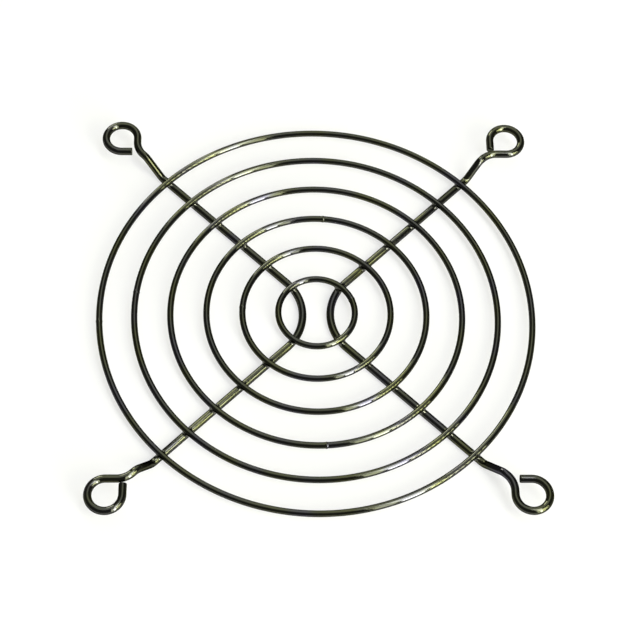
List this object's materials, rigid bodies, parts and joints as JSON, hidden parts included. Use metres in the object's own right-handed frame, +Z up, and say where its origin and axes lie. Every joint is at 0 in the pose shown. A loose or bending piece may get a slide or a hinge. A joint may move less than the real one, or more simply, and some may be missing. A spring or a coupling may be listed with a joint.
{
  "type": "wire fan guard",
  "caption": "Round wire fan guard: concentric welded rings on two bent rib wires that end in open screw eyelets.",
  "frame": {"origin": "centre of the rings, on the ground under the two ribs", "axes": "+Z up from the ribs through the rings to the eyelets; +X across the middle gap, from the left rib to the right rib"},
  "size_m": [0.0908, 0.0908, 0.0049],
  "materials": {
    "plated_wire": "dark bright nickel-chrome plating on steel wire"
  },
  "bodies": {
    "root": {"ring_1": "plated_wire", "ring_2": "plated_wire", "ring_3": "plated_wire", "ring_4": "plated_wire", "ring_5": "plated_wire", "ring_6": "plated_wire", "left_rib": "plated_wire", "right_rib": "plated_wire"}
  },
  "joints": []
}
